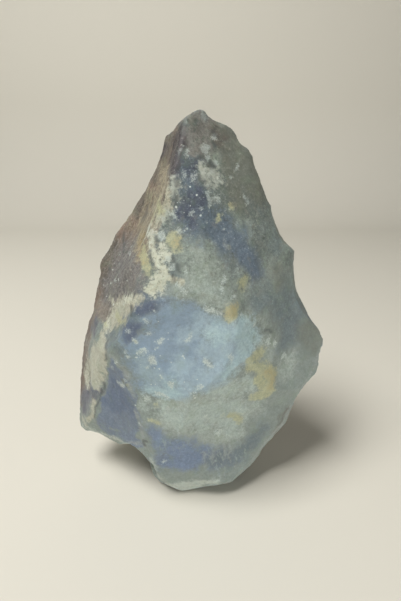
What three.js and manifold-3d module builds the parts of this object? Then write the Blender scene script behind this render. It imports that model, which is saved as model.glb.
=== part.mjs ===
// Raw blue chalcedony: one broken chunk of stone, taller than it is wide, that stands on a small flat spot.
// Millimetres, +Z up. The origin is the middle of the flat spot, -Y is the broad shell-scarred front
// and +X is its thin right rim.
//
// The chunk is made as nature made it: a rough block, whose old faces have weathered into low lumps, from
// which shell-shaped flakes have come away, and whose whole skin has then weathered once more. The block is
// the convex hull of its corners, each flake is a shallow bowl cut out of it, and weather is a slow noise
// that moves the skin.

import * as THREE from "three";
import { ConvexGeometry } from "three/addons/geometries/ConvexGeometry.js";
import { ImprovedNoise } from "three/addons/math/ImprovedNoise.js";
import { mergeVertices } from "three/addons/utils/BufferGeometryUtils.js";
import Module from "manifold-3d";

const wasm = await Module();
wasm.setup();

// Corners of the rough block, [across, deep, up], going up each of its sides.
const foot = [
  [-5.2, -11.2, 0],
  [9, -8, 0],
  [11.5, 4, 0],
  [3, 12, 0],
  [-8, 11, 0],
  [-11.7, -8, 0],
];
const frontBelly = [
  [-9.2, -14, 8],
  [8, -12.5, 5],
  [-12.5, -15.5, 16.5],
  [1, -17.5, 30.5],
  [-3, -17, 51],
  [6.5, -14, 50.5],
  [5.5, -7, 69],
];
const leftRidge = [
  [-26.5, -7, 21],
  [-24, -11, 35.5],
  [-21, -12.5, 48.5],
  [-15, -12.5, 57],
  [-9, -8, 66],
  [-5.5, -2, 82],
  [-2.6, 4.5, 93.7],
];
const leftEdge = [
  [-35.5, 0, 14.5],
  [-35.4, 2, 23],
  [-31.4, 3.5, 40],
  [-27, 10, 59],
  [-10.9, 18, 87],
  [-9.2, 16, 89.6],
];
const lowerRim = [
  [15.3, -7, 6.7],
  [21.8, -5, 18.8],
  [24.3, -3, 28],
  [31.6, -0.6, 32],
];
const upperRim = [
  [32.4, 1, 39.2],
  [23.2, 5, 65.2],
  [14.3, 8, 77.6],
  [12, 9, 86],
  [7.9, 11, 91.4],
];
const crown = [
  [0.2, 8, 95.3],
  [2, 14, 92.5],
];
const back = [
  [-24, 17, 20],
  [-20, 22, 42],
  [-2, 26, 32],
  [16, 20, 22],
  [21, 17, 40],
  [6, 23, 60],
  [-12, 22, 64],
  [9, 18, 76],
];

// A flake's scar: across and along are the size of its mouth on a flat face, roll turns it about its axis.
// Azimuth 0 faces -Y, 90 faces +X; elevation is above the horizon.
const scars = [
  // the broad front, from the large bowl in its middle outwards
  { at: [-1, -16, 47.5], facing: [3, 12], across: 50, along: 34, roll: 14, depth: 2.3 },
  { at: [8.5, -13.5, 29], facing: [18, -8], across: 38, along: 32, roll: 35, depth: 2.3 },
  { at: [-1, -15.6, 18], facing: [4, -9], across: 34, along: 20, roll: 0, depth: 1.3 },
  { at: [5, -6.5, 71], facing: [26, 23], across: 27, along: 52, roll: 24, depth: 2 },
  { at: [13, 2.5, 79], facing: [44, 22], across: 20, along: 40, roll: 14, depth: 1.2 },
  { at: [20.5, -4.5, 47], facing: [34, 9], across: 24, along: 36, roll: 0, depth: 1.5 },
  { at: [-20.5, -11.8, 29], facing: [-31, -5], across: 22, along: 40, roll: 24, depth: 1.5 },
  // the left flank
  { at: [-14, 6.5, 76], facing: [-64, 26], across: 24, along: 42, roll: 6, depth: 2.2 },
  { at: [-15.2, 15.5, 79], facing: [-90, 28], across: 18, along: 30, roll: 0, depth: 2.6 },
  { at: [-21, -2.5, 58], facing: [-52, 18], across: 22, along: 22, roll: 0, depth: 1.4 },
  { at: [-30, -3, 34], facing: [-62, 6], across: 16, along: 40, roll: -6, depth: 1.2 },
  { at: [-28.6, 7, 51], facing: [-88, 14], across: 16, along: 16, roll: 0, depth: 2.1 },
  // the shoulder beside the crown, and the notch where it meets the crown
  { at: [8.3, 8.7, 91], facing: [48, 36], across: 12, along: 17, roll: 0, depth: 1.8 },
  { at: [4.3, 9.5, 93.3], facing: [25, 62], across: 5.5, along: 18, roll: 0, depth: 1.2 },
  // bites out of the thin right rim
  { at: [15.2, 7.6, 79], facing: [72, 22], across: 10, along: 10, roll: 0, depth: 1 },
  { at: [19.4, 6.4, 70.4], facing: [84, 18], across: 11, along: 11, roll: 0, depth: 1.5 },
  { at: [26.6, 3, 53.6], facing: [80, 20], across: 19, along: 22, roll: 0, depth: 2.5 },
  { at: [28, -1.6, 27.4], facing: [75, -37], across: 11, along: 11, roll: 0, depth: 1.1 },
  // the hollow under the left heel
  { at: [-23.3, -5, 6.8], facing: [-48, -48], across: 27, along: 27, roll: 0, depth: 5 },
  { at: [-15.5, -9.5, 11.3], facing: [-52, -40], across: 12, along: 12, roll: 0, depth: 3.5 },
  // the back
  { at: [-1, 25.5, 40], facing: [178, 0], across: 42, along: 48, roll: 0, depth: 3.4 },
  { at: [14, 19.5, 62], facing: [142, 20], across: 30, along: 40, roll: 0, depth: 2.6 },
  { at: [-22, 18, 34], facing: [-128, -6], across: 28, along: 44, roll: 0, depth: 2.6 },
  { at: [18, 14, 20], facing: [120, -24], across: 26, along: 28, roll: 0, depth: 2 },
  { at: [-8, 21, 76], facing: [-160, 22], across: 24, along: 30, roll: 0, depth: 1.8 },
];

// Small chips knocked out of the upper rim, one between each two of its corners.
const chip = { across: 5.5, depth: 0.8, rise: 15 };

// How weather has shaped the skin: how far apart its swellings are, how far they stand in or out, and the
// length of the small flats that they are made of. The old faces have lumps, which the flakes then broke
// through, and the whole skin has pebbles. The flat spot stays flat: both fade in over the first few mm.
const lumps = { spacing: 12, height: 1.2, flat: 4.5 };
const pebbles = { spacing: 7, height: 0.7, flat: 2.8 };
const fadeHeight = 3;

// The length of the flats that a flake's bowl is made of, how far the skin may move where flats are joined
// into larger ones, before the last weathering and after it, and how near two corners are the same corner.
const bowlFlat = 4;
const roughFit = 0.12;
const fineFit = 0.05;
const sameCorner = 1e-4;

const degree = Math.PI / 180;

function direction([azimuth, elevation]) {
  const flat = Math.cos(elevation * degree);
  return new THREE.Vector3(
    Math.sin(azimuth * degree) * flat,
    -Math.cos(azimuth * degree) * flat,
    Math.sin(elevation * degree),
  );
}

function solidOf(geometry) {
  const bare = geometry.clone();
  bare.deleteAttribute("normal");
  bare.deleteAttribute("uv");
  const merged = mergeVertices(bare, sameCorner);
  return new wasm.Manifold(
    new wasm.Mesh({
      numProp: 3,
      vertProperties: merged.attributes.position.array,
      triVerts: Uint32Array.from(merged.index.array),
    }),
  );
}

function geometryOf(solid) {
  const mesh = solid.getMesh();
  const geometry = new THREE.BufferGeometry();
  geometry.setAttribute("position", new THREE.BufferAttribute(mesh.vertProperties, 3));
  geometry.setIndex(new THREE.BufferAttribute(mesh.triVerts, 1));
  geometry.computeVertexNormals();
  return geometry;
}

function scarSolid({ at, facing, across, along, roll, depth }) {
  const radius = ((across / 2) ** 2 + depth ** 2) / (2 * depth);
  const detail = Math.round(radius / bowlFlat);
  const out = direction(facing);
  const bowl = new THREE.IcosahedronGeometry(radius, detail);
  const right = new THREE.Vector3(0, 0, 1).cross(out).normalize();
  const turn = new THREE.Quaternion()
    .setFromRotationMatrix(new THREE.Matrix4().makeBasis(right, out.clone().cross(right), out))
    .multiply(new THREE.Quaternion().setFromAxisAngle(new THREE.Vector3(0, 0, 1), roll * degree));
  const centre = new THREE.Vector3(...at).addScaledVector(out, radius - depth);
  bowl.applyMatrix4(new THREE.Matrix4().compose(centre, turn, new THREE.Vector3(1, along / across, 1)));
  return solidOf(bowl);
}

// A chip faces away from the upright through the middle of the flat spot.
function chipBetween([x0, y0, z0], [x1, y1, z1]) {
  const at = [(x0 + x1) / 2, (y0 + y1) / 2, (z0 + z1) / 2];
  const azimuth = Math.atan2(at[0], -at[1]) / degree;
  const { across, depth, rise } = chip;
  return { at, facing: [azimuth, rise], across, along: across, roll: 0, depth };
}

const noise = new ImprovedNoise();

// How far along its own axis each direction's push is read in the noise, so that the three differ.
const stepAside = [17, 31, 53];

function push(point, spacing, height) {
  return stepAside.map((step, axis) => {
    const place = point.map((value) => value / spacing);
    place[axis] += step;
    return noise.noise(...place) * height;
  });
}

function weathered(solid, { spacing, height, flat }) {
  return solid.refineToLength(flat).warp((point) => {
    const shift = push(point, spacing, height * Math.min(1, point[2] / fadeHeight));
    for (let axis = 0; axis < 3; axis += 1) point[axis] += shift[axis];
  });
}

const corners = [foot, frontBelly, leftRidge, leftEdge, lowerRim, upperRim, crown, back].flat();
const block = new ConvexGeometry(corners.map((corner) => new THREE.Vector3(...corner)));
let stone = weathered(solidOf(block), lumps);
const chips = upperRim.slice(1).map((corner, i) => chipBetween(upperRim[i], corner));
for (const scar of [...scars, ...chips]) stone = stone.subtract(scarSolid(scar));
stone = weathered(stone.simplify(roughFit), pebbles).simplify(fineFit);

const chalcedony = new THREE.Mesh(
  geometryOf(stone),
  new THREE.MeshStandardMaterial({ color: 0x8fa0ad, roughness: 0.5, metalness: 0 }),
);
chalcedony.name = "chalcedony";

const part = new THREE.Group();
part.add(chalcedony);
export default part;
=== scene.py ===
import math

import bpy
import numpy as np
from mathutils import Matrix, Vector, noise


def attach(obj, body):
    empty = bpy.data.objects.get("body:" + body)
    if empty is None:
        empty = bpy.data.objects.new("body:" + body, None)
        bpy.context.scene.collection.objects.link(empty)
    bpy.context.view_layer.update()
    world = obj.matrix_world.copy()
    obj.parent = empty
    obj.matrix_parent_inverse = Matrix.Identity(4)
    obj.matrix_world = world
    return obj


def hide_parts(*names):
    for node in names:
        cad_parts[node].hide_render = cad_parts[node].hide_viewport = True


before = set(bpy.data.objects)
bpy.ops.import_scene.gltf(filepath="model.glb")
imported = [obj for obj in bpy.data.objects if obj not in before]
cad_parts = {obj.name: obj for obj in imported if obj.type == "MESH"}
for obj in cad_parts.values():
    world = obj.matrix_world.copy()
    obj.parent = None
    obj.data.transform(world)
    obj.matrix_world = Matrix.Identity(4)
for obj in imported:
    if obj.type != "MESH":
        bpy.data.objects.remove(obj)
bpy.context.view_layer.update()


# ---------------------------------------------------------------------------------------------------------
# The stone's body. A single chunk of blue chalcedony, a waxy quartz of fibres too fine to see, broken from
# its vein by hammer and frost. Its big breaks come from the frame; the worn skin is worked here.

FINENESS = 0.00044  # how far apart the points of the skin's mesh are
WELD = 1e-6  # how near two corners of the frame are one corner
TAUT = 5  # rounds of smoothing that take the frame's small facets out
PULL = 0.5  # how far a round moves each point towards those around it

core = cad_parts["chalcedony"]
stone = bpy.data.objects.new("raw_chalcedony", core.data.copy())
bpy.context.scene.collection.objects.link(stone)
bpy.ops.object.select_all(action="DESELECT")
stone.select_set(True)
bpy.context.view_layer.objects.active = stone
bpy.ops.object.mode_set(mode="EDIT")
bpy.ops.mesh.select_all(action="SELECT")
bpy.ops.mesh.remove_doubles(threshold=WELD)
bpy.ops.object.mode_set(mode="OBJECT")


def finish(kind, **settings):
    """Adds one modifier to the stone and applies it."""
    step = stone.modifiers.new(kind.title(), kind)
    for name, value in settings.items():
        setattr(step, name, value)
    bpy.ops.object.modifier_apply(modifier=step.name)


finish("REMESH", mode="VOXEL", voxel_size=FINENESS)
finish("SMOOTH", factor=PULL, iterations=TAUT)


# ---------------------------------------------------------------------------------------------------------
# The stains. Weathering left chalky cream crust on the left ridge, ochre in its hollows and rust on the left
# flank, and the quartz itself runs from clear deep blue to milk. Each stain is strokes on the stone's front,
# back or left side, through places in mm: how far across, how high, and how far the stroke reaches there.
# Some strokes are painted light and shade instead: the glow on the big scar, the pale rims lit from the
# floor below, and the umber, which is partly painted shade.

MM = 1000  # millimetres in one of the script's metres
WANDER = ((4.0, 0.9), (1.4, 0.5))  # how a stroke's edge strays, in mm: how long its bends are, how deep
SEED = 2  # of the noise that it strays by, so that every run gives the same stone
DEEPEST = 6.0  # mm from its edge beyond which a stain is as full, or as far away, as it gets
SOAK = (1.12, 0.1)  # how a stroke soaks in beyond its reach: a share of it, and mm more
WRAP = 16.0  # how soon a stroke ends where the skin turns away from its side
DAB = 1e-9  # stands in for the length of a stroke that is a single dab
SIDES = {  # which way each side of the stone looks, and the axis that runs across it
    "front": ((0, -0.92, 0.39), 0),
    "back": ((0, 0.96, 0.28), 0),
    "left": ((-1, 0, 0), 1),
}


def skin_read(what):
    """Where each point of the skin is, in metres ("co"), or the way it faces ("normal")."""
    flat = np.empty(len(stone.data.vertices) * 3, np.float32)
    stone.data.vertices.foreach_get(what, flat)
    return flat.reshape(-1, 3)


def skin_points():
    """Every point of the skin, in millimetres."""
    return skin_read("co").astype(float) * MM


skin = skin_points()
tilts = skin_read("normal")
brushed = skin.copy()
noise.seed_set(SEED)
for size, depth in WANDER:
    brushed += [depth * noise.noise_vector(Vector(point) / size) for point in skin]


def within(stroke, side):
    """How far inside the edge of a stroke on one side of the stone each point of the skin is, in mm."""
    facing, across = SIDES[side]
    canvas = brushed[:, (across, 2)]
    *places, reaches = np.array(stroke, float).T
    places = np.array(places).T
    reaches = reaches * SOAK[0] + SOAK[1]
    deepest = np.full(len(canvas), -np.inf)
    for i in range(max(len(places) - 1, 1)):
        j = min(i + 1, len(places) - 1)
        along = places[j] - places[i]
        share = np.clip((canvas - places[i]) @ along / max(along @ along, DAB), 0, 1)
        away = np.linalg.norm(canvas - places[i] - share[:, None] * along, axis=1)
        deepest = np.maximum(deepest, reaches[i] + (reaches[j] - reaches[i]) * share - away)
    return deepest + WRAP * np.minimum(tilts @ facing, 0)


def keep(name, amount):
    """Keeps a value for each point of the skin, where the material reads it."""
    stone.data.attributes.new(name, "FLOAT", "POINT").data.foreach_set("value", amount.astype(np.float32))
    return amount


def stain(name, **sides):
    """Lays strokes on the stone's sides, and keeps how far inside their edges each point is, in mm."""
    inside = [within(stroke, side) for side, strokes in sides.items() for stroke in strokes]
    return keep(name, np.clip(np.max(inside, axis=0), -DEEPEST, DEEPEST))


stain(
    "moss",
    front=[
        [(-10, 27, 2), (-5, 28.5, 4), (2, 27, 5), (8, 26, 4), (12, 28, 2.5)],
        [(-8, 33, 2), (0, 33, 3.5), (9, 33.5, 2.8)],
        [(-3, 23, 2), (1, 21, 3), (5, 20, 3), (9, 19, 2)],
        [(-6, 60, 2.2), (-1, 60.5, 3), (4, 58, 2.5), (8, 56, 1.5)],
        [(-4, 64, 1.5), (0, 63.5, 2.5), (4, 62, 1.2)],
        [(-2, 67.5, 1.5), (0, 67, 2), (1.7, 64.5, 2.2), (-1.5, 62, 2)],
        [(16, 42, 1.5), (19, 42.5, 1.5)],
        [(21, 35, 1.5), (23, 37, 1)],
        [(10, 52, 1.5), (13, 51, 1.5)],
        [(9.5, 58.5, 1)],
        [(17, 60, 1.5), (16, 62, 1)],
        [(3, 87, 1), (4, 85, 1)],
        [(9, 71, 1.2), (10, 69.5, 1)],
    ],
    back=[
        [(-14, 8, 6), (-4, 10, 7), (8, 9, 6)],
        [(14, 24, 5), (10, 17, 5)],
        [(11, 53, 4), (14, 60, 4), (12, 68, 3)],
        [(-8, 64, 4), (-9, 56, 4)],
        [(22, 52, 4), (21, 62, 4), (17, 72, 3)],
    ],
)
stain(
    "haze",
    front=[
        [(-7, 30, 2), (-1, 29, 3), (5, 28, 3), (9, 27, 2)],
        [(3, 35, 1.5), (7, 34, 1.5)],
        [(-9, 32, 1.3)],
        [(6, 24, 2), (8, 21, 2)],
        [(1, 25, 2)],
        [(-6, 60, 1.5), (-2, 61, 2), (2, 60, 2)],
        [(0.7, 66.3, 1.2), (2, 63.5, 1.4)],
        [(-2, 62.5, 1.3), (-1.5, 60.7, 1.5)],
        [(-13, 31.5, 1)],
        [(1, 57.5, 1), (4, 56.5, 1)],
        [(5, 39, 1)],
        [(11, 37, 1.2), (12, 34.5, 1)],
        [(-1, 88, 0.8), (1, 87, 1)],
        [(3, 86, 1), (5, 84, 1.2)],
        [(-3.3, 87, 0.4), (-3, 86, 0.5)],
        [(-10, 73, 0.8), (-8, 73, 1)],
        [(10, 71, 0.8), (11, 69, 0.8)],
        [(14, 45, 0.8)],
        [(9.5, 62, 0.8)],
    ],
    back=[
        [(-12, 22, 4), (-4, 20, 5), (6, 22, 4)],
        [(-14, 50, 3), (-12, 58, 3), (-9, 68, 2.5)],
        [(10, 44, 3), (12, 50, 3)],
        [(20, 20, 3), (22, 28, 3)],
    ],
)
stain(
    "deep",
    front=[
        [(-3, 84.5, 1.5), (-2, 82, 2), (-1.5, 78, 2.5), (-2, 74, 3)],
        [(0, 73.5, 3), (4, 71, 2.8), (8, 67.8, 2.8), (11, 64, 2.2), (12.5, 60.5, 1.2)],
        [(-7.5, 56.7, 1.1), (-9, 56.5, 1.4), (-12, 56.3, 1.8), (-14.5, 55, 1.5)],
        [(-17, 50.5, 1), (-15.5, 52, 1.3), (-13, 53.5, 1.6)],
        [(-11.5, 24.5, 1.2), (-10, 21, 2.2), (-6, 18.3, 3.4), (-1, 15.3, 3), (3, 14, 2)],
        [(-9, 14, 2.5), (-3, 13.5, 2.5)],
        [(4, 12, 1.5), (8, 11, 1.5)],
    ],
    back=[
        [(2, 74, 5), (0, 64, 7), (-4, 56, 6), (3, 55, 4)],
        [(-22, 44, 4), (-22, 34, 6), (-23, 24, 6)],
        [(15, 44, 5), (15, 34, 6), (12, 26, 4)],
        [(9, 72, 4), (10, 62, 4)],
        [(-4, 6, 5), (6, 5, 4)],
        [(28, 44, 3), (26, 36, 4), (24, 26, 3)],
    ],
)
stain(
    "night",
    front=[
        [(-9.5, 20, 1.8), (-6, 18, 2.5), (-1, 15.5, 2.5)],
        [(-7, 13.5, 1.8), (-3, 13, 1.8)],
    ],
    back=[
        [(1, 68, 4), (-1, 60, 5)],
        [(-23, 30, 4), (-22, 22, 3)],
        [(15, 40, 3), (15, 32, 3)],
    ],
)
stain(
    "facet",
    front=[
        [(-20, 42, 0.6), (-20, 39, 1.2), (-20, 35, 2.3), (-20.5, 29, 3.3), (-22, 23, 3.3)],
        [(-24.5, 22, 1.7), (-26.5, 18, 1.2), (-22, 17, 1.6), (-18, 17.5, 1.6), (-15.5, 18, 1)],
        [(-18.5, 40, 0.7), (-17, 35, 1.2), (-16.7, 29, 1.6), (-16, 24, 1.6)],
        [(-22, 28, 2.2), (-18.5, 24, 3), (-19, 20, 2)],
    ],
)
stain(
    "slate",
    front=[
        [(16, 56, 1.5), (19.5, 53, 2.8), (23, 48.5, 3.8), (23, 44, 3), (20, 41.5, 1)],
        [(16.5, 19.5, 1.3), (14, 16, 2.2), (10.5, 12.5, 2)],
        [(3, 13, 1.5), (6, 12.5, 2), (8.5, 11, 1.6)],
        [(-22, 47, 0.7), (-20, 47, 1.1), (-18, 46, 1.1)],
        [(17, 69, 1.2), (18.5, 64.5, 1)],
        [(13, 55, 1.2), (14, 53, 1.2)],
        [(-6.5, 64, 1.2), (-5.5, 62, 0.8)],
        [(-10, 70.5, 0.8), (-8, 71, 1.2)],
    ],
    back=[
        [(2, 86, 4), (-2, 80, 5), (-3, 72, 4)],
        [(-20, 50, 3), (-27, 34, 4), (-28, 22, 4)],
        [(20, 34, 4), (19, 24, 4), (15, 15, 4)],
        [(20, 46, 4), (16, 54, 3)],
    ],
)
stain(
    "sky",
    front=[
        [(-11, 53.5, 1.2), (-7, 53, 3.2), (-2, 52.5, 3)],
        [(-15, 47.5, 2), (-9, 47, 4.5), (-3, 47, 4)],
        [(-14, 42, 2.3), (-9, 41.5, 3.5), (-3, 42, 3)],
        [(-14, 37, 1.5), (-10, 37.5, 2)],
        [(-5, 55.5, 1), (-2, 55.5, 1.2)],
    ],
    back=[
        [(-8, 42, 7), (0, 38, 10), (3, 33, 7)],
        [(1, 47, 5)],
    ],
)
stain(
    "milk",
    front=[
        [(0, 52.3, 1.4), (4, 50.2, 2.3), (8, 48.5, 2.3)],
        [(1, 46, 1.8), (4, 45.5, 2.8), (7, 45, 2.6)],
        [(-5, 43, 1.8), (-3, 42, 1.5)],
        [(-4, 39, 1.3), (0, 39, 2.4), (5, 40, 2.2)],
        [(-12, 36.5, 1.1), (-8, 36, 1.4), (-4, 37, 1.6)],
        [(-12, 43.5, 1.4), (-12.5, 41, 1.4), (-9.5, 39, 1.9), (-6, 38, 1.7)],
        [(-4, 49, 1.2), (-1, 50, 1.4)],
    ],
    back=[
        [(-6, 42, 4), (3, 40, 6), (4, 34, 4)],
        [(-7, 34, 2.5), (-2, 29, 3)],
    ],
)
# painted light: a pale milky blue on the big scar where it catches the light, laid over the quartz's own
# milky tone
stain(
    "painted_glow",
    front=[
        [(8.5, 51.5, 0.9), (10.5, 49, 2), (11, 46, 2.2), (10.5, 43.5, 1.6),
         (8, 41.5, 1.4), (5.5, 39.5, 0.9)],
        [(-12, 35.5, 0.9), (-9, 35.5, 1.2), (-7, 36, 1.2), (-6, 38, 0.9)],
        [(2, 49.5, 1), (5, 49, 1.4)],
    ],
    back=[[(6, 47, 1.5), (8, 40, 2), (6, 31, 1.5)]],
)
stain(
    "dusk",
    front=[
        [(3.5, 92, 1.2), (6, 91, 2), (9, 87, 3), (11.5, 82, 3), (13, 77, 2)],
        [(5.5, 87, 1.5), (7.5, 81, 1.7), (9, 75.5, 1.7)],
        [(28.5, 44, 1.7), (30.5, 41, 1.8), (29.5, 38, 1.3)],
        [(26.5, 44, 1.3), (27, 40.5, 1.5)],
        [(18, 60, 1.3), (19, 57.5, 1)],
    ],
    back=[
        [(-2, 91, 3), (4, 88, 4), (8, 84, 4), (11, 78, 4)],
        [(14, 73, 4), (17, 64, 4), (22, 56, 4)],
        [(29, 42, 3), (30, 34, 3)],
    ],
)
stain(
    "ash",
    front=[
        [(-2.5, 93.5, 0.8), (0, 94.3, 1), (2, 92.7, 1.2)],
        [(-2, 90, 1.2), (0.5, 90.7, 2.2), (2.5, 89.5, 1.4)],
        [(-2.3, 86.7, 1), (0, 87.5, 1.6), (1.5, 87, 1.2)],
        [(-3, 91.5, 0.6), (-3, 88, 0.7)],
    ],
)
stain(
    "ink",
    front=[
        [(-3.2, 85, 0.8), (-2.5, 84, 1), (-2, 82.3, 1)],
        [(0, 79.7, 0.8), (0.3, 77.5, 1), (0, 75.5, 1)],
        [(-2.5, 77, 1.3), (-2, 74.5, 1.3)],
        [(-4.5, 74.7, 1.2)],
        [(-1.5, 83.5, 1), (0, 84.5, 0.5)],
        [(-1.5, 72.7, 1)],
        [(-1.3, 81.5, 0.7)],
        [(-5, 83.5, 0.4), (-5, 81.7, 0.5)],
        [(-14.5, 54.5, 0.7), (-13, 55.5, 0.9), (-10.5, 56, 1.1)],
        [(-16.5, 51.5, 0.9), (-15, 50.8, 1.4), (-13.7, 51.7, 0.9)],
        [(-16, 49.2, 0.9)],
        [(-20.5, 35, 1.2), (-19.5, 32.5, 2.2), (-20.5, 30, 2.4)],
        [(-24.5, 28, 0.9), (-21.5, 27, 1.4)],
        [(-17.5, 31, 1.2), (-16.3, 28, 0.8)],
    ],
    back=[
        [(3, 66, 1.5), (0, 61, 2.5), (-4, 56, 1.5)],
        [(-20, 38, 1.5), (-19, 28, 2)],
    ],
)
flank = stain(
    "flank",
    front=[
        [(-8, 89, 3), (-9.5, 84.5, 3.3), (-13, 78, 4), (-17, 70, 5), (-22, 62, 5.5), (-25, 54, 5)],
        [(-5.5, 91, 1), (-6.5, 87.5, 1.2), (-7.5, 82, 1.2), (-9.5, 76, 1.6), (-12, 69.5, 1.8)],
        [(-12, 69.5, 1.8), (-15.5, 64, 2.4), (-18.5, 57, 2.5)],
        [(-20, 66, 2.5), (-22, 60, 2.5), (-24, 55, 2.5)],
        [(-27.5, 51, 2.5), (-29.5, 46, 2.5), (-31, 41, 2), (-31.5, 34, 1.5),
         (-32.5, 28, 1.4), (-33.5, 21, 1)],
        [(-31, 44, 1.5), (-32.5, 36, 1), (-33.5, 28, 1), (-34.5, 20, 1)],
    ],
    left=[
        [(4, 30, 7), (8, 42, 7), (12, 54, 7)],
        [(10, 66, 7), (14, 78, 5)],
    ],
    back=[
        [(-31, 20, 3), (-30, 32, 4), (-28, 46, 4)],
        [(-22, 60, 4), (-16, 72, 4), (-10, 84, 3)],
    ],
)
# dark brown, partly weathering and partly painted shade: under the crown's ledge, down the left flank and
# along the lower right edge
stain(
    "painted_shade_and_umber",
    front=[
        [(3.2, 92, 0.5), (3.4, 90, 0.7), (4, 88, 1)],
        [(5.5, 89.5, 1.2)],
        [(-7.5, 90, 1.3), (-8.5, 88, 1.6), (-9.5, 85, 1.4)],
        [(-9, 83.5, 0.8), (-11.5, 80.5, 1.2)],
        [(-13.5, 76, 1.2), (-15.5, 72.5, 1.4)],
        [(-22.7, 63.5, 1.2), (-23.7, 60.5, 1.8), (-24.7, 56.5, 1.8)],
        [(23, 23, 0.5), (21.5, 20, 0.8), (19.5, 16.5, 0.7)],
    ],
    back=[[(-25, 54, 3), (-20, 60, 3), (-15, 68, 2)]],
)
stain(
    "rust",
    front=[
        [(-8.3, 88.5, 1), (-9.5, 86, 1), (-10.7, 82.5, 1), (-12, 79, 1.2),
         (-14, 74.5, 1.4), (-16.5, 70, 1.6)],
        [(-16.5, 70, 1.6), (-19, 66, 1)],
        [(-22, 62, 1.5), (-24, 58.5, 2), (-25, 54.5, 1.3)],
        [(-26.5, 52, 1), (-28.5, 47, 1.2), (-30, 42.5, 1)],
        [(-31.5, 37, 0.7), (-32.5, 30, 0.6), (-33.5, 24, 0.6)],
    ],
    left=[[(8, 50, 4), (12, 66, 3)]],
    back=[
        [(-32, 18, 2), (-31, 28, 2.5), (-29, 40, 2)],
        [(-13, 78, 2), (-10, 86, 2)],
    ],
)
stain(
    "plum",
    front=[
        [(-4, 92, 0.8), (-4.7, 89.5, 1.4), (-5.3, 86.5, 1.4), (-6, 83.5, 1.3), (-6.3, 81.5, 0.9)],
        [(-25, 31, 0.6), (-27.5, 30.5, 1), (-28.5, 28, 1.2)],
        [(-29.5, 26.5, 1.2), (-31.3, 24, 1.2), (-32.3, 21, 1.2), (-33, 18.5, 0.7)],
        [(-25.7, 48, 0.4), (-26.8, 45.5, 0.6), (-28, 43, 0.6)],
        [(-8.5, 87.5, 0.5), (-9.5, 85, 0.5)],
    ],
)
stain(
    "dove",
    front=[
        [(-17.5, 64.5, 1.4), (-19.5, 61.5, 2.4), (-20.5, 57.5, 2.7), (-22.3, 54, 2)],
        [(-14.5, 62.5, 1.7), (-16, 60, 2.4), (-18, 57, 2)],
        [(-13, 60, 1), (-14.5, 58, 1.2)],
        [(-16, 65, 1.2), (-13.5, 61.5, 1.2)],
    ],
    back=[[(-22, 54, 2), (-18, 62, 3), (-13, 70, 2)]],
)
stain(
    "olive",
    front=[
        [(-8, 83, 0.7), (-8.5, 79.5, 1), (-10, 75.5, 1.2), (-11.7, 72.5, 1.2),
         (-13.5, 69.5, 1.4), (-14, 66.5, 1.1)],
        [(-11.5, 76.5, 1), (-12.7, 73, 1)],
        [(-10.5, 69, 0.7), (-11.5, 66, 0.8)],
        [(-17.5, 68.5, 0.6)],
    ],
)
stain(
    "cream",
    front=[
        [(-12.7, 57.7, 0.5), (-14.5, 56.8, 0.7)],
        [(-15, 56, 0.8), (-18, 53.5, 1.4), (-20, 51, 1.4), (-22.5, 48, 0.9)],
        [(-18.8, 50.7, 0.5)],
        [(-21.5, 53, 0.7)],
        [(-23.6, 45.5, 0.8), (-24.7, 41.5, 1.3), (-26.6, 37, 1.6), (-28.2, 33.5, 2), (-26.5, 32, 1)],
        [(-22.7, 45, 0.6), (-23.3, 42, 0.8), (-23.8, 38, 1.2)],
        [(-24.5, 36, 0.9), (-25, 33, 0.7)],
        [(-28.8, 35.5, 0.8), (-29.5, 32, 1.2), (-29.9, 29.7, 1), (-30.5, 27.7, 0.5)],
        [(-27.5, 26.5, 0.5), (-28.3, 23, 0.6), (-29.2, 20.5, 0.6), (-30.7, 17.5, 0.6)],
        [(-33, 16.5, 0.4), (-31.5, 15.5, 0.6)],
        [(-6.8, 79, 0.6), (-6.8, 77, 0.8), (-7.5, 75.5, 1), (-9, 73.5, 0.6), (-10.7, 72, 0.4)],
        [(-6.5, 61.5, 0.5), (-4, 61, 0.5)],
        [(-5.2, 80.2, 0.5), (-5, 78.7, 0.5)],
        [(-10.2, 70.3, 1)],
    ],
    back=[[(-17.5, 34, 0.8), (-17, 42, 1.2), (-16, 50, 1)]],
)
stain(
    "seam",
    front=[
        [(-21, 43.5, 0.2), (-19, 43, 0.3), (-17.5, 41, 0.4), (-16.7, 37, 0.4), (-16, 33, 0.2)],
        [(-15.5, 29, 0.2), (-14.8, 25, 0.2), (-14.3, 21, 0.2), (-14, 17.5, 0.3)],
        [(-27, 15, 0.2), (-22, 16, 0.2), (-18, 17, 0.2), (-15, 18.5, 0.2)],
        [(-4.2, 88, 0.1), (-4.7, 86, 0.1)],
        [(0.8, 94.5, 0.4), (1.5, 93.5, 0.4)],
        [(3.5, 16, 0.1), (3, 12, 0.1)],
        [(5.5, 17, 0.2), (6, 12, 0.1)],
        [(7, 16.5, 0.2), (7.5, 11, 0.1)],
        [(1, 16, 0.2), (1, 11, 0.1)],
        [(5, 68.5, 0.1), (6, 67, 0.1)],
        [(32, 39.5, 0.2), (31, 36, 0.3), (29.5, 33, 0.3), (27.5, 29.5, 0.4), (25.5, 26, 0.4)],
        [(25.5, 26, 0.4), (23.5, 22.5, 0.4), (18, 14, 0.4), (15, 10, 0.3), (12.5, 6.5, 0.2)],
        [(-21.7, 47, 0.2), (-21.5, 45, 0.2)],
        [(12, 43, 0.2), (8.5, 40.5, 0.2)],
    ],
    back=[
        [(13, 76, 0.3), (9, 66, 0.3), (8, 56, 0.3)],
        [(-12, 48, 0.3), (-6, 51, 0.3), (4, 53, 0.3), (9, 49, 0.3)],
        [(16, 28, 0.3), (10, 33, 0.3)],
    ],
)
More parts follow.
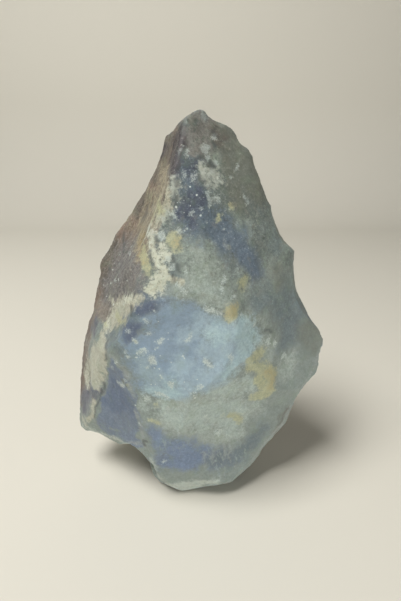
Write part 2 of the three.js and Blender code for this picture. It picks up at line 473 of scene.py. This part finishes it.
stain(
    "crack",
    front=[
        [(-4.8, 78.5, 0.2), (-5, 77.3, 0.3), (-5.4, 76.3, 0.2)],
        [(-4.5, 86, 0.2), (-4.5, 85.3, 0.2)],
        [(-4.9, 81, 0.2), (-4.7, 79.5, 0.2)],
        [(0, 81.5, 0.2), (1.3, 81, 0.2)],
        [(3.2, 90.7, 0.2), (3.3, 89.7, 0.1)],
        [(2.7, 88, 0.2), (3, 87.3, 0.3)],
        [(2.2, 84.2, 0.3), (3, 83.2, 0.3)],
        [(-0.3, 85.5, 0.3), (-1, 85, 0.3)],
        [(-9.7, 69.7, 0.4), (-9.2, 68.8, 0.3)],
        [(-10.5, 66.8, 0.1), (-9.7, 63.5, 0.1)],
        [(-13, 73.5, 0.1), (-14, 70, 0.1)],
        [(-6.3, 66, 0.2), (-5.7, 65, 0.2)],
        [(-4.8, 64.2, 0.3), (-4.2, 63.5, 0.2)],
        [(-6, 62.5, 0.2), (-6, 61.3, 0.2)],
        [(-15, 55, 0.4), (-14.7, 53.7, 0.2)],
        [(-21.7, 46, 0.1), (-22, 43, 0.1), (-22.7, 41, 0.2)],
        [(-24, 33.5, 0.2), (-24, 31.7, 0.2)],
        [(-25, 31.3, 0.2), (-26, 28, 0.2), (-27.2, 24.5, 0.1), (-28, 21, 0.1)],
        [(-18.3, 37.5, 0.3), (-17.8, 36, 0.2)],
        [(-14, 18.5, 0.4), (-14, 20, 0.2)],
        [(15, 47.5, 0.1), (17, 46, 0.1)],
        [(-19.5, 66.5, 0.2), (-19, 63.5, 0.2)],
        [(-23.5, 58.5, 0.2)],
    ],
    back=[
        [(-7, 77, 0.3), (-10, 72, 0.3), (-12, 64, 0.3)],
        [(7, 58, 0.3), (6, 64, 0.3)],
    ],
)
crust = stain(
    "crust",
    front=[
        [(-5.5, 81.5, 0.4), (-5, 80.5, 0.6)],
        [(-5.1, 80.2, 0.8), (-5, 78.8, 0.7), (-4.6, 77.8, 0.5)],
        [(-7.4, 74.5, 0.5), (-8, 73.3, 0.7)],
        [(-11, 71, 0.6), (-10.3, 69.3, 0.9)],
        [(-10.6, 68, 0.5), (-9.9, 66.7, 0.7), (-9.2, 65.7, 0.9)],
        [(-8.3, 68, 0.4), (-7.6, 66.3, 0.9)],
        [(-9, 65.5, 1), (-8.3, 64, 1.1), (-8, 62, 1.1)],
        [(-8.3, 61.8, 1.2), (-9.2, 60.5, 1.3), (-10, 59.8, 1.2), (-10.7, 59.7, 0.8)],
        [(-0.1, 84.3, 0.4), (0.5, 83, 0.6), (1.3, 82, 0.8), (2.2, 80.9, 0.6), (3, 80.3, 0.3)],
        [(3, 82.5, 0.5), (3.6, 81, 0.6)],
        [(-16.7, 55.5, 0.4), (-15, 56.8, 0.3)],
        [(-22, 49, 0.5), (-22.5, 47.8, 0.3)],
    ],
    back=[
        [(-11, 70, 0.9), (-12, 64, 1.2), (-14, 57, 0.9)],
        [(-16, 50, 1), (-17, 44, 1.4), (-17, 38, 1)],
        [(7, 51, 1), (6, 56, 1.2)],
    ],
)
stain(
    "crumbs",
    front=[
        [(-5.5, 60.5, 0.2), (-2.5, 59.5, 0.2)],
        [(3.1, 90.2, 0.2), (3.3, 88.8, 0.3)],
        [(-2, 82, 0.3), (-1.7, 81, 0.3), (-1.2, 81.7, 0.2)],
        [(-3.7, 82.5, 0.1), (-3.6, 81.5, 0.1)],
        [(1.7, 78.6, 0.3), (2.2, 77.2, 0.5), (2.3, 76, 0.2)],
        [(3.6, 77.4, 0.3), (4.3, 77, 0.2)],
        [(-6, 74.3, 0.4), (-5.2, 73.7, 0.3)],
        [(-1.6, 74, 0.3)],
        [(-5.8, 75.5, 0.2)],
        [(0.3, 75.2, 0.2)],
        [(-3, 71.7, 0.2)],
        [(-3, 87, 0.2), (-3, 86, 0.2)],
        [(0.3, 87.3, 0.5), (1.2, 86.7, 0.5)],
        [(1.7, 85.2, 0.4)],
        [(-8.5, 70, 0.8)],
        [(-4.7, 71, 0.6)],
        [(3.2, 84, 0.4)],
        [(6.2, 75, 0.2)],
        [(8, 83.5, 0.2)],
        [(7, 81.5, 0.2)],
        [(10, 77, 0.2), (10.3, 75.5, 0.2)],
        [(-12, 53.8, 0.2), (-11.5, 52.5, 0.2)],
        [(-15.5, 50.5, 0.2)],
        [(-15, 48.5, 0.4), (-14, 48, 0.4)],
        [(-16.7, 46, 0.3)],
        [(-15.7, 45, 0.3)],
        [(-13.3, 45.7, 0.3), (-12, 46, 0.3)],
        [(-9.3, 48.5, 0.5)],
        [(-11.3, 50, 0.2)],
        [(-10, 55, 0.2)],
        [(-11, 44.5, 0.5), (-10.2, 43.3, 0.4)],
        [(-12, 42, 0.4)],
        [(-6.3, 38.3, 0.6)],
        [(-13, 33, 0.5)],
        [(-8.7, 39.7, 0.2)],
        [(-10, 47, 0.2)],
        [(-10.5, 35, 0.4), (-8.3, 34.5, 0.4)],
        [(-1.7, 36.5, 0.2)],
        [(-0.3, 37.5, 0.3)],
        [(-2.5, 49.3, 0.2), (-3.3, 48.3, 0.2)],
        [(0.5, 43.5, 0.4), (1.5, 42.7, 0.4), (2.3, 42.2, 0.3)],
        [(6.7, 44.8, 0.2), (7, 43.3, 0.2)],
        [(1.2, 55.3, 0.3), (2.7, 54.7, 0.4), (4.3, 54, 0.3)],
        [(7, 52.3, 0.3), (6, 53, 0.2)],
        [(9, 53, 0.2)],
        [(12.7, 50, 0.2)],
        [(7, 58, 0.2)],
        [(16, 44.5, 0.2), (16.5, 43.3, 0.3)],
        [(18.3, 43, 0.5)],
        [(21, 38.3, 0.5)],
        [(1, 27.5, 0.3)],
        [(4.3, 21, 0.5)],
        [(9.5, 27, 0.2)],
        [(12, 40.5, 0.3)],
        [(-6, 64, 0.5)],
        [(-7, 65.5, 0.3)],
        [(-3.3, 63.3, 0.2)],
        [(5, 61.5, 0.2), (4.7, 59, 0.2)],
        [(-9, 14, 0.3)],
        [(-19, 35.8, 0.5), (-17.8, 37.4, 0.5)],
        [(-20.5, 39.5, 0.3)],
        [(-19, 42, 0.3)],
        [(-14.7, 25, 0.2)],
        [(-13.7, 19, 0.2)],
        [(-21, 57.5, 0.3)],
        [(-17, 64, 0.3)],
    ],
    back=[
        [(-18, 33, 0.6), (-18.5, 30, 0.5)],
        [(6, 62, 0.6), (5, 66, 0.5)],
        [(-13, 40, 0.5), (-12, 37, 0.4)],
        [(-7, 29.5, 0.5), (-5, 28, 0.4)],
        [(4, 28.5, 0.6), (6, 30, 0.4)],
        [(-7, 76, 0.5), (-6, 79, 0.4)],
        [(9, 41, 0.4)],
        [(-3, 47, 0.4)],
        [(2, 60, 0.4)],
        [(-20, 15.5, 0.6), (-23, 15.5, 0.5), (-28, 15, 0.5)],
        [(15, 64, 0.6), (15, 60, 0.5)],
        [(20, 40, 0.5), (20.5, 37, 0.5)],
        [(-19, 25, 0.4)],
        [(11, 36, 0.4)],
        [(-1, 72, 0.4)],
        [(9, 22, 0.4)],
    ],
)
stain(
    "ochre",
    front=[
        [(-6, 69.3, 1.2), (-5.5, 68.2, 1.1)],
        [(-12.3, 66.5, 0.6), (-12, 65, 1), (-11.7, 63.7, 1.1)],
        [(-9, 75.5, 0.4), (-8.7, 74.5, 0.5)],
        [(9.3, 58.7, 0.8), (10.3, 59.7, 0.6)],
        [(6.5, 54.7, 1.3), (6.7, 53.3, 1)],
        [(12, 40, 1), (14, 39, 1.2), (16.3, 37.3, 1.4), (17.5, 35.2, 1.2), (16.5, 32.8, 1.5)],
        [(16.5, 32.8, 1.5), (15, 31, 1.3), (13.3, 30.3, 0.9)],
        [(11.7, 42, 0.8), (14.3, 42.2, 1.1)],
        [(14, 36, 1.1), (15, 33.5, 1)],
        [(6.5, 26, 0.7), (8, 25, 0.9), (9.5, 23.5, 0.8)],
        [(-10.5, 26.7, 0.5), (-12.3, 27.5, 0.4)],
        [(-10.7, 31.5, 0.4)],
        [(3.8, 73.7, 0.4), (4, 72.7, 0.4)],
        [(6.3, 76, 0.3), (6.7, 75.2, 0.2)],
        [(-19, 51.5, 0.3), (-17.8, 51, 0.4), (-16.5, 51.7, 0.2)],
        [(-22.7, 48.5, 0.3)],
        [(-14.2, 48.3, 0.2)],
        [(-17.5, 36, 0.2)],
    ],
    back=[
        [(-10, 30, 1.2), (-5, 27, 1), (0, 25.5, 1)],
        [(-15, 46, 1), (-14, 53, 1)],
        [(8, 54, 1.2), (6.5, 60, 1)],
        [(19, 42, 1), (20, 36, 1)],
        [(-10, 73, 1), (-7, 78, 0.8)],
    ],
)
stain(
    "amber",
    front=[
        [(16.5, 37, 0.6), (17.7, 35, 0.7), (16.8, 33, 0.4)],
        [(6.7, 55.2, 0.8), (6.3, 54, 0.7)],
        [(-5, 68.7, 0.5)],
        [(-12, 64.7, 0.4)],
        [(-14, 66, 0.4), (-13, 68.5, 0.4)],
        [(6.3, 75.8, 0.2)],
    ],
    back=[
        [(-9, 29.5, 0.6)],
        [(8, 54, 0.5)],
    ],
)
# painted light: pale rims along the lower edges of the foot and the heel, lit by light bounced up from the
# floor
stain(
    "painted_bounce_rim",
    front=[
        [(-8.5, 3, 1), (-6, 3.5, 1.5), (-2.5, 4, 2), (1, 5.6, 1.1), (4, 6, 0.7)],
        [(-5, 1.3, 1), (-1.5, 1.5, 1)],
        [(-4, 2.7, 1.4), (-1.5, 3, 1.4)],
        [(-33, 14, 0.3), (-29, 14.5, 0.4), (-24, 15, 0.4), (-19, 16, 0.4)],
        [(-12.5, 14.5, 0.3), (-11.5, 10, 0.3), (-10.5, 5.5, 0.3)],
    ],
    back=[
        [(-8, 1.5, 1), (0, 1, 1), (4, 1.5, 1)],
        [(-16, 13, 0.6), (-24, 14, 0.6), (-33, 13.5, 0.6)],
    ],
)
stain(
    "veil",
    front=[
        [(3, 15, 1.5), (6.5, 13.5, 2.2), (10, 13.5, 1.6)],
        [(4, 10, 1), (8, 9, 1)],
        [(-9, 20, 1), (-5, 19.5, 1)],
    ],
    back=[[(-6, 12, 4), (8, 13, 4)]],
)
stain(
    "specks",
    front=[
        [(-12, 51.5, 2.5), (-9.5, 44, 4.5), (-7.5, 38.5, 4.5), (-2, 37, 3)],
        [(-18, 64, 2), (-20, 58, 2.5), (-22.5, 54, 2)],
        [(-1, 80, 3), (-2.5, 74, 3)],
        [(-14.5, 34, 1.2), (-14, 29, 1.2)],
        [(6, 77, 2), (6, 73, 2)],
    ],
    back=[
        [(-4, 42, 7), (4, 36, 6)],
        [(0, 66, 5)],
    ],
)

# ---------------------------------------------------------------------------------------------------------
# The worn skin. Frost and grit left it finely lumpy, the crust stands on it like dried lime, the left flank
# is grooved along its length where the stone parted from its vein, and the foot stays flat.

FOOT = 1.5  # mm of height over which the worn skin fades in
FLAT = 0.3  # how far above the ground that starts, as a share of FOOT
BLEND = 2.0  # mm, how wide the edge of a stain's own relief is
STRENGTHS = 20  # how many shares a vertex group tells apart
SPLIT = (-0.33, -0.17, -0.93)  # the way the flank parted from its vein, from the shoulder to the heel
GROOVE = 9  # how many times longer than wide a groove is
AROUND = 12  # rounds of smoothing that tell how the skin lies around a point
SHARP = 0.16  # mm that an arris stands above the skin around it where it counts as fully sharp

worn = np.clip(skin[:, 2] / FOOT - FLAT, 0, 1)


def mask(name, amount):
    """A vertex group with a share from 0 to 1 for each point of the skin."""
    group = stone.vertex_groups.new(name=name)
    shares = np.rint(np.clip(amount, 0, 1) * worn * STRENGTHS).astype(int)
    for share in range(1, STRENGTHS + 1):
        group.add(np.flatnonzero(shares == share).tolist(), share / STRENGTHS, "REPLACE")
    return name


def lumps(size, depth, layers, where, middle=0.5, guide=None):
    """Raises and sinks the skin in clouds that are size across and depth deep, in metres."""
    clouds = bpy.data.textures.new("clouds", "CLOUDS")
    clouds.noise_scale = size
    clouds.noise_depth = layers
    room = {"texture_coords": "LOCAL"}
    if guide:
        room = {"texture_coords": "OBJECT", "texture_coords_object": guide}
    finish("DISPLACE", texture=clouds, strength=depth, mid_level=middle, vertex_group=where, **room)


everywhere = mask("everywhere", np.ones(len(skin)))
lumps(size=0.0030, depth=0.0004, layers=3, where=everywhere)
lumps(size=0.0009, depth=0.00012, layers=2, where=everywhere)

grooves = bpy.data.objects.new("grooves", None)
bpy.context.scene.collection.objects.link(grooves)
grooves.rotation_euler = Vector(SPLIT).to_track_quat("Z", "Y").to_euler()
grooves.scale = (1, 1, GROOVE)
bpy.context.view_layer.update()
grooved = mask("grooved", flank / BLEND + 0.5)
lumps(size=0.0011, depth=0.0006, layers=3, where=grooved, guide=grooves)
bpy.data.objects.remove(grooves)

limed = mask("limed", crust / BLEND + 0.5)
lumps(size=0.0007, depth=0.0008, layers=4, where=limed, middle=0.35)


def relief(rounds):
    """How far each point stands above the skin around it, smoothed for so many rounds, in millimetres."""
    points = skin_points()
    edges = np.empty(len(stone.data.edges) * 2, np.int32)
    stone.data.edges.foreach_get("vertices", edges)
    one, other = edges.reshape(-1, 2).T
    count = len(points)
    ties = np.bincount(one, minlength=count) + np.bincount(other, minlength=count)
    around = points.copy()
    for _ in range(rounds):
        sums = [
            np.bincount(one, around[other, axis], count) + np.bincount(other, around[one, axis], count)
            for axis in range(3)
        ]
        around = np.stack(sums, axis=1) / ties[:, None]
    return ((points - around) * skin_read("normal")).sum(axis=1)


# relief, kept for the painted shade in hollows and creases
keep("arris", np.clip(relief(AROUND) / SHARP, -1, 1))


# ---------------------------------------------------------------------------------------------------------
# The stone's finish: milky quartz that light sinks into, waxy on top, with the stains broken up by grain.
# Sizes of grain are in mm, and colours are as seen on a screen, from 0 to 255.

UPPER = (0.03, 0.09)  # the heights between which the low colours give way to the high ones
CROWN = (0.065, 0.075)  # the same for the lime crust, which is greyer up there
FAN = (0.1, 0.3, -0.9)  # the way that the veil's wisps run
NOISY = (0.3, 0.7)  # what plain noise mostly stays between
SPECK = (0.3, 0.15)  # how uneven a fleck's edge is, and how soft, where 1 is from one fleck to the next

quartz = bpy.data.materials.new("waxy_blue_quartz")
quartz.use_nodes = True
nodes = quartz.node_tree.nodes
links = quartz.node_tree.links
nodes.clear()
place = nodes.new("ShaderNodeTexCoord").outputs["Object"]


def spread(size, stretch=(1, 1, 1), along=(0, 0, 1), shift=0.0):
    """Object coordinates in steps of size millimetres, longer along one way where they are stretched."""
    room = nodes.new("ShaderNodeMapping")
    room.vector_type = "TEXTURE"
    links.new(place, room.inputs["Vector"])
    room.inputs["Scale"].default_value = [size / MM * s for s in stretch]
    room.inputs["Rotation"].default_value = Vector(along).to_track_quat("Z", "Y").to_euler()
    room.inputs["Location"].default_value = (shift, shift, shift)
    return room.outputs["Vector"]


def fade(value, low, high, top=1.0, kind="SMOOTHSTEP"):
    """0 where value is at low, top where it is at high, and smooth in between."""
    node = nodes.new("ShaderNodeMapRange")
    node.interpolation_type = kind
    links.new(value, node.inputs["Value"])
    node.inputs["From Min"].default_value = low
    node.inputs["From Max"].default_value = high
    node.inputs["To Max"].default_value = top
    return node.outputs["Result"]


def grain(size, detail=4.0, rough=0.6, **room):
    """Cloudy noise whose clouds are about size millimetres across, from 0 to 1."""
    cloud = nodes.new("ShaderNodeTexNoise")
    cloud.inputs["Scale"].default_value = 1
    cloud.inputs["Detail"].default_value = detail
    cloud.inputs["Roughness"].default_value = rough
    links.new(spread(size, **room), cloud.inputs["Vector"])
    return fade(cloud.outputs["Fac"], *NOISY, kind="LINEAR")


def maths(kind, a, b, c=None):
    """One sum on numbers or textures."""
    node = nodes.new("ShaderNodeMath")
    node.operation = kind
    for socket, value in zip(node.inputs, (a, b, c)):
        if isinstance(value, (int, float)):
            socket.default_value = value
        elif value is not None:
            links.new(value, socket)
    return node.outputs[0]


def read(name):
    """What was kept under a name for each point of the skin."""
    node = nodes.new("ShaderNodeAttribute")
    node.attribute_name = name
    return node.outputs["Fac"]


def broken(name, texture, ragged, soft, top=1.0):
    """A stain whose edge a texture moves to and fro by ragged mm, and which fades in over soft mm."""
    edge = maths("MULTIPLY_ADD", texture, ragged, -ragged / 2)
    return fade(maths("ADD", read(name), edge), -soft / 2, soft / 2, top)


def blend(share, one, other):
    """A share of one texture and the rest of another."""
    return maths("MULTIPLY_ADD", one, share, maths("MULTIPLY", other, 1 - share))


def srgb(*levels):
    """A colour, well above black, in the linear values that shaders take."""
    return (*[((level / 255 + 0.055) / 1.055) ** 2.4 for level in levels], 1)


def lay(under, over, where):
    """One colour laid over another, fully where the last value is 1."""
    node = nodes.new("ShaderNodeMix")
    node.data_type = "RGBA"
    for socket, value in ((node.inputs[0], where), (node.inputs[6], under), (node.inputs[7], over)):
        if isinstance(value, tuple):
            socket.default_value = value
        else:
            links.new(value, socket)
    return node.outputs[2]


def dots(size, share, wide, rough, shift=0.0):
    """Specks about size mm apart, a share of them there, each its own width, with uneven edges."""
    cells = nodes.new("ShaderNodeTexVoronoi")
    cells.inputs["Scale"].default_value = 1
    links.new(spread(size, shift=shift), cells.inputs["Vector"])
    pick = nodes.new("ShaderNodeSeparateColor")
    links.new(cells.outputs["Color"], pick.inputs[0])
    room = fade(pick.outputs[0], 1 - share, 1, wide, kind="LINEAR")
    uneven = maths("MULTIPLY_ADD", rough, SPECK[0], cells.outputs["Distance"])
    return fade(maths("SUBTRACT", room, uneven), -SPECK[1], 0.0)


def scale(colour, *shares):
    """A colour made lighter and darker by textures, each with how much."""
    gain = 1.0
    for texture, amount in shares:
        gain = maths("MULTIPLY_ADD", texture, amount, maths("ADD", gain, -amount / 2))
    node = nodes.new("ShaderNodeVectorMath")
    node.operation = "SCALE"
    links.new(colour, node.inputs[0])
    links.new(gain, node.inputs["Scale"])
    return node.outputs[0]


billows = grain(3.5, detail=6, rough=0.65, shift=0.007)
motes = grain(1.6, detail=6, rough=0.7, shift=0.001)
dust = grain(0.7, detail=5, rough=0.8, shift=0.005)
grit = grain(0.33, detail=2, rough=0.8, shift=0.002)
streaks = grain(0.9, detail=5, rough=0.65, stretch=(1, 1, 10), along=SPLIT)
fans = grain(0.8, detail=4, rough=0.7, stretch=(1, 1, 8), along=FAN, shift=0.004)
smoky = blend(0.6, billows, dust)
crumbly = blend(0.5, motes, dust)
gritty = blend(0.55, dust, grit)
fibrous = blend(0.7, streaks, dust)
height = nodes.new("ShaderNodeSeparateXYZ")
links.new(place, height.inputs[0])
# upper runs from 0 low on the stone to 1 high up; most colours darken with it, partly as painted shade
upper = fade(height.outputs["Z"], *UPPER)
crown = fade(height.outputs["Z"], *CROWN)


def tint(under, name, texture, low, high=None, ragged=3, soft=3, top=1.0):
    """A colour with a stain's own laid over it, which may be another one towards the top of the stone."""
    shade = lay(srgb(*low), srgb(*high), upper) if high else srgb(*low)
    return lay(under, shade, broken(name, texture, ragged, soft, top))


# the quartz itself, from moss grey through clear dark blue to milk; most shades darken towards the top,
# partly the quartz's own tone and partly painted shade, as the lower stone catches bounce light from the
# floor
colour = lay(srgb(124, 133, 129), srgb(98, 105, 101), upper)
colour = tint(colour, "moss", smoky, (144, 153, 147), (124, 133, 124), ragged=6, soft=5, top=0.95)
colour = tint(colour, "haze", crumbly, (150, 161, 156), (121, 128, 119), ragged=4, top=0.9)
colour = tint(colour, "deep", smoky, (106, 118, 134), (82, 94, 103), ragged=5, soft=4, top=0.95)
colour = tint(colour, "night", smoky, (107, 121, 142), top=0.8)
colour = tint(colour, "facet", smoky, (106, 117, 132), ragged=1, soft=0.8, top=0.95)
colour = tint(colour, "slate", smoky, (101, 112, 117), (106, 116, 112), ragged=5, soft=4, top=0.9)
colour = tint(colour, "sky", smoky, (121, 138, 152), ragged=4, soft=4)
colour = tint(colour, "milk", smoky, (137, 154, 163))
# painted light on the big scar, over the quartz's own milky blue
colour = tint(colour, "painted_glow", crumbly, (148, 167, 171))
colour = tint(colour, "dusk", smoky, (110, 116, 110), (101, 104, 96), ragged=4, top=0.95)
colour = tint(colour, "ash", fibrous, (112, 111, 106), soft=2, top=0.95)
colour = tint(colour, "ink", crumbly, (95, 106, 124), (72, 78, 89), ragged=2.5, soft=1.5)

# what weather left on it, with painted shade in the umber and painted bounce light on the rims
colour = tint(colour, "flank", fibrous, (126, 122, 116), (122, 112, 100), ragged=2, soft=1.5)
colour = tint(colour, "rust", fibrous, (100, 87, 79), (121, 107, 96), ragged=4, top=0.95)
# partly painted shade, partly dark brown weathering
colour = tint(colour, "painted_shade_and_umber", fibrous, (98, 94, 86), (84, 80, 74), ragged=2, soft=2, top=0.85)
colour = tint(colour, "plum", fibrous, (97, 100, 109), (68, 64, 66), ragged=2, soft=1.5, top=0.95)
colour = lay(colour, lay(srgb(94, 93, 94), srgb(116, 115, 112), gritty), broken("dove", crumbly, 3, 3, 0.9))
colour = tint(colour, "olive", fibrous, (130, 124, 107), ragged=4, soft=2.5, top=0.9)
colour = tint(colour, "cream", fibrous, (163, 164, 151), (150, 148, 132), ragged=2, soft=1.2, top=0.95)
colour = tint(colour, "seam", crumbly, (135, 141, 138), ragged=1, soft=1, top=0.75)
# painted light: the pale rims that bounce light from the floor lights
colour = tint(colour, "painted_bounce_rim", crumbly, (161, 168, 161), ragged=1.5, soft=1.5, top=0.9)

# the grain over all of it: lighter and darker specks, less where the stone is milky or smooth
milky = maths("MAXIMUM", fade(read("sky"), -2, 2), fade(read("milk"), -2, 2))
plain = maths("MAXIMUM", fade(read("dusk"), -2, 2, 0.7), fade(read("ash"), -1, 1, 0.7))
smooth = maths("MAXIMUM", milky, plain)
coarse = maths("MULTIPLY", maths("MULTIPLY_ADD", upper, 0.75, 0.3), maths("MULTIPLY_ADD", smooth, -0.8, 1))
even = scale(colour, (smoky, 0.2), (crumbly, 0.12), (gritty, 0.1))
speckled = scale(colour, (smoky, 0.35), (crumbly, 0.6), (gritty, 0.7))
colour = lay(even, speckled, coarse)
woody = maths("MAXIMUM", fade(read("flank"), -1, 1), fade(read("ash"), -1, 1))
colour = lay(colour, scale(colour, (streaks, 0.35), (dust, 0.3)), woody)
tawny = fade(grain(2.0, shift=0.011), 0.6, 1.0, 0.15)
colour = lay(colour, srgb(150, 138, 122), maths("MULTIPLY", tawny, coarse))
wisps = maths("MULTIPLY", broken("veil", fans, 3, 2), fade(fans, 0.5, 0.9, 0.6))
colour = lay(colour, srgb(146, 156, 151), wisps)
colour = lay(colour, srgb(118, 134, 112), fade(grain(3.0, shift=0.013), 0.5, 1.0, 0.2))
colour = lay(colour, srgb(172, 178, 168), maths("MULTIPLY", fade(gritty, 0.62, 0.95, 0.6), coarse))
# painted shade: darker where the skin lies below the skin around it, in hollows and creases
colour = lay(colour, srgb(80, 84, 86), fade(read("arris"), -0.35, -1.0, 0.4))

# lime crust, a thin bloom all round it, crumbs of it, dark cracks, iron ochre and white flecks
bloom = lay(srgb(134, 141, 132), srgb(158, 163, 151), motes)
colour = lay(colour, bloom, broken("crust", dust, 5, 2.5, 0.3))
pitted = maths("MULTIPLY_ADD", fade(gritty, 0.1, 0.45), 0.6, 0.4)
limey = maths("MULTIPLY", broken("crust", crumbly, 3, 1.2, 0.95), pitted)
lime = lay(srgb(146, 148, 132), srgb(199, 202, 187), blend(0.5, gritty, motes))
chalk = lay(srgb(126, 130, 120), srgb(166, 171, 162), blend(0.5, gritty, motes))
colour = lay(colour, lay(lime, chalk, crown), limey)
crumbs = maths("MULTIPLY", broken("crumbs", gritty, 1.2, 0.7, 0.8), maths("MULTIPLY_ADD", upper, -0.3, 1))
colour = lay(colour, lay(srgb(140, 149, 146), srgb(190, 199, 193), grit), crumbs)
colour = tint(colour, "crack", gritty, (72, 76, 76), ragged=1, soft=0.8, top=0.75)
rusty = maths("MULTIPLY", broken("ochre", crumbly, 2, 1.2), maths("MULTIPLY_ADD", gritty, 0.6, 0.5))
colour = lay(colour, lay(srgb(134, 137, 108), srgb(176, 177, 148), blend(0.5, motes, grit)), rusty)
colour = tint(colour, "amber", gritty, (154, 138, 98), soft=2, top=0.45)
flecks = maths("MAXIMUM", dots(1.3, 0.35, 0.3, grit), dots(0.7, 0.15, 0.35, grit, shift=0.002))
colour = lay(colour, srgb(186, 193, 188), maths("MULTIPLY", flecks, fade(read("specks"), -2, 1)))

wax = maths("MULTIPLY_ADD", motes, 0.15, 0.5)
shine = nodes.new("ShaderNodeBsdfPrincipled")
links.new(colour, shine.inputs["Base Color"])
links.new(maths("MULTIPLY_ADD", limey, 0.25, wax), shine.inputs["Roughness"])
shine.inputs["IOR"].default_value = 1.54
shine.inputs["Specular IOR Level"].default_value = 0.25
shine.inputs["Subsurface Weight"].default_value = 1.0
shine.inputs["Subsurface Radius"].default_value = (0.8, 1.0, 1.2)
shine.inputs["Subsurface Scale"].default_value = 0.0015
out = nodes.new("ShaderNodeOutputMaterial")
links.new(shine.outputs["BSDF"], out.inputs["Surface"])

stone.data.materials.clear()
stone.data.materials.append(quartz)
bpy.ops.object.shade_smooth()
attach(stone, "root")
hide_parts("chalcedony")


# ---------------------------------------------------------------------------------------------------------
# The studio: a pale floor that sweeps up into a pale wall, a large soft lamp high on the left, a wide low
# one in front that lights the stone and leaves the floor's shadows dark, and weak light from all round.

FLOOR_DEPTH = 0.30  # from the stone back to where the sweep starts
FLOOR_HALF = 2.0  # half of the floor's width
SWEEP = 0.12  # radius of the sweep
SWEEP_STEPS = 16
WALL = 1.5  # how high the wall goes on above the sweep
LAMPLIGHT = (1.0, 0.985, 0.95)
EYE = (0, -0.092, 0.091)  # where the camera is
DOWNWARD = 23  # degrees that it looks down
FOCAL = 24.08  # mm
SENSOR = 36  # mm across
NEAREST = 0.005  # how near to the camera things are still seen

plaster = bpy.data.materials.new("pale_plaster")
plaster.use_nodes = True
plaster.node_tree.nodes["Principled BSDF"].inputs["Base Color"].default_value = srgb(206, 203, 193)
plaster.node_tree.nodes["Principled BSDF"].inputs["Roughness"].default_value = 0.9

bpy.ops.mesh.primitive_plane_add(size=1, location=(0, FLOOR_DEPTH - FLOOR_HALF, 0))
floor = bpy.context.active_object
floor.name = "studio_floor"
floor.scale = (2 * FLOOR_HALF, 2 * FLOOR_HALF, 1)
bpy.ops.object.transform_apply(location=True, rotation=True, scale=True)
bpy.ops.object.mode_set(mode="EDIT")
bpy.ops.mesh.select_mode(type="EDGE")
bpy.ops.mesh.select_all(action="DESELECT")
bpy.ops.object.mode_set(mode="OBJECT")
for edge in floor.data.edges:
    edge.select = all(floor.data.vertices[v].co.y > FLOOR_DEPTH - SWEEP for v in edge.vertices)
bpy.ops.object.mode_set(mode="EDIT")
centre = (0, FLOOR_DEPTH, SWEEP)
bpy.ops.mesh.spin(steps=SWEEP_STEPS, angle=math.radians(-90), center=centre, axis=(1, 0, 0))
bpy.ops.mesh.extrude_region_move(TRANSFORM_OT_translate={"value": (0, 0, WALL)})
bpy.ops.object.mode_set(mode="OBJECT")
bpy.ops.object.shade_smooth()
floor.data.materials.append(plaster)


def lamp(place, aim, power, size):
    """A soft lamp of a width and a height, which shines from one point towards another."""
    bpy.ops.object.light_add(type="AREA", location=place)
    light = bpy.context.active_object
    light.rotation_euler = (Vector(aim) - light.location).to_track_quat("-Z", "Y").to_euler()
    light.data.shape = "RECTANGLE"
    light.data.size, light.data.size_y = size
    light.data.energy = power
    light.data.color = LAMPLIGHT


lamp(place=(-0.22, -0.11, 0.57), aim=(0, 0, 0), power=4.2, size=(0.26, 0.26))
lamp(place=(0.15, -0.45, 0.045), aim=(0, 0, 0.045), power=1.6, size=(0.40, 0.07))

world = bpy.data.worlds.new("studio")
bpy.context.scene.world = world
world.use_nodes = True
world.node_tree.nodes["Background"].inputs["Color"].default_value = (*LAMPLIGHT, 1)
world.node_tree.nodes["Background"].inputs["Strength"].default_value = 0.10

bpy.context.scene.view_settings.view_transform = "Standard"

lens = bpy.data.cameras.new("camera")
camera = bpy.data.objects.new("camera", lens)
bpy.context.scene.collection.objects.link(camera)
camera.location = EYE
camera.rotation_euler = (math.radians(90 - DOWNWARD), 0, 0)
lens.lens = FOCAL
lens.sensor_width = SENSOR
lens.clip_start = NEAREST
bpy.context.scene.camera = camera
